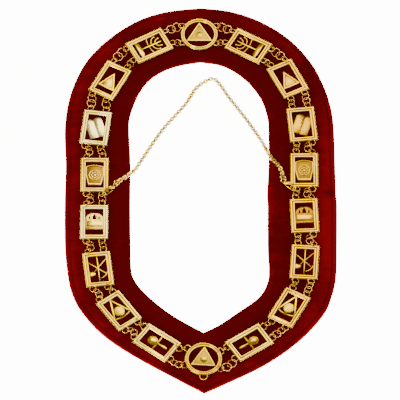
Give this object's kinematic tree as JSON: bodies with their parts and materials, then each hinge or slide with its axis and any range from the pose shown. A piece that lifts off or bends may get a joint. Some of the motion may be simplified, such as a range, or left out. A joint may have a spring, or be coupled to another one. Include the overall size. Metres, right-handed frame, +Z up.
{
  "type": "chain of office",
  "caption": "Velvet collar with a pointed front, carrying round medallions and pierced gilt plates joined by jump-ring chains, with a safety chain and clasps across the neck.",
  "frame": {"origin": "under the middle of the velvet's outline, in the plane that the collar lies on", "axes": "+X to the wearer's left, +Y towards the back of the neck, +Z up out of the collar's face"},
  "size_m": [0.3054, 0.513, 0.0088],
  "materials": {
    "velvet": "short pile velvet",
    "gilt": "bright gilt",
    "rose_gilt": "polished gilt wire",
    "pale_gilt": "fine gilt chain"
  },
  "bodies": {
    "collar": {"velvet_collar": "velvet", "medallion_top": "gilt", "medallion_bottom": "gilt", "safety_chain": "pale_gilt", "plate_left_1": "gilt", "plate_left_2": "gilt", "plate_left_3": "gilt", "plate_left_4": "gilt", "plate_left_5": "gilt", "plate_left_6": "gilt", "plate_left_7": "gilt", "plate_left_8": "gilt", "plate_right_1": "gilt", "plate_right_2": "gilt", "plate_right_3": "gilt", "plate_right_4": "gilt", "plate_right_5": "gilt", "plate_right_6": "gilt", "plate_right_7": "gilt", "plate_right_8": "gilt", "links_left_1_outer": "rose_gilt", "links_left_1_inner": "rose_gilt", "links_left_2_outer": "rose_gilt", "links_left_2_inner": "rose_gilt", "links_left_3_outer": "rose_gilt", "links_left_3_inner": "rose_gilt", "links_left_4_outer": "rose_gilt", "links_left_4_inner": "rose_gilt", "links_left_5_outer": "rose_gilt", "links_left_5_inner": "rose_gilt", "links_left_6_outer": "rose_gilt", "links_left_6_inner": "rose_gilt", "links_left_7_outer": "rose_gilt", "links_left_7_inner": "rose_gilt", "links_left_8_outer": "rose_gilt", "links_left_8_inner": "rose_gilt", "links_left_9_outer": "rose_gilt", "links_left_9_inner": "rose_gilt", "links_right_1_outer": "rose_gilt", "links_right_1_inner": "rose_gilt", "links_right_2_outer": "rose_gilt", "links_right_2_inner": "rose_gilt", "links_right_3_outer": "rose_gilt", "links_right_3_inner": "rose_gilt", "links_right_4_outer": "rose_gilt", "links_right_4_inner": "rose_gilt", "links_right_5_outer": "rose_gilt", "links_right_5_inner": "rose_gilt", "links_right_6_outer": "rose_gilt", "links_right_6_inner": "rose_gilt", "links_right_7_outer": "rose_gilt", "links_right_7_inner": "rose_gilt", "links_right_8_outer": "rose_gilt", "links_right_8_inner": "rose_gilt", "links_right_9_outer": "rose_gilt", "links_right_9_inner": "rose_gilt", "clasp_body_left": "gilt", "clasp_body_right": "gilt"},
    "lever_left": {"clasp_lever_left": "gilt"},
    "lever_right": {"clasp_lever_right": "gilt"}
  },
  "joints": [
    {"name": "clasp_left_lever", "type": "hinge", "parent": "collar", "child": "lever_left", "pos_m": [-0.0986, 0.01008, 0.00464], "axis": [-0.341, 0.5945, -0.7282], "range_deg": [0, 6], "stiffness_Nm_per_rad": 0.001, "springref_deg": -17.19},
    {"name": "clasp_right_lever", "type": "hinge", "parent": "collar", "child": "lever_right", "pos_m": [0.09562, 0.01606, 0.00439], "axis": [-0.3483, -0.6306, 0.6936], "range_deg": [0, 6], "stiffness_Nm_per_rad": 0.001, "springref_deg": -17.19}
  ]
}
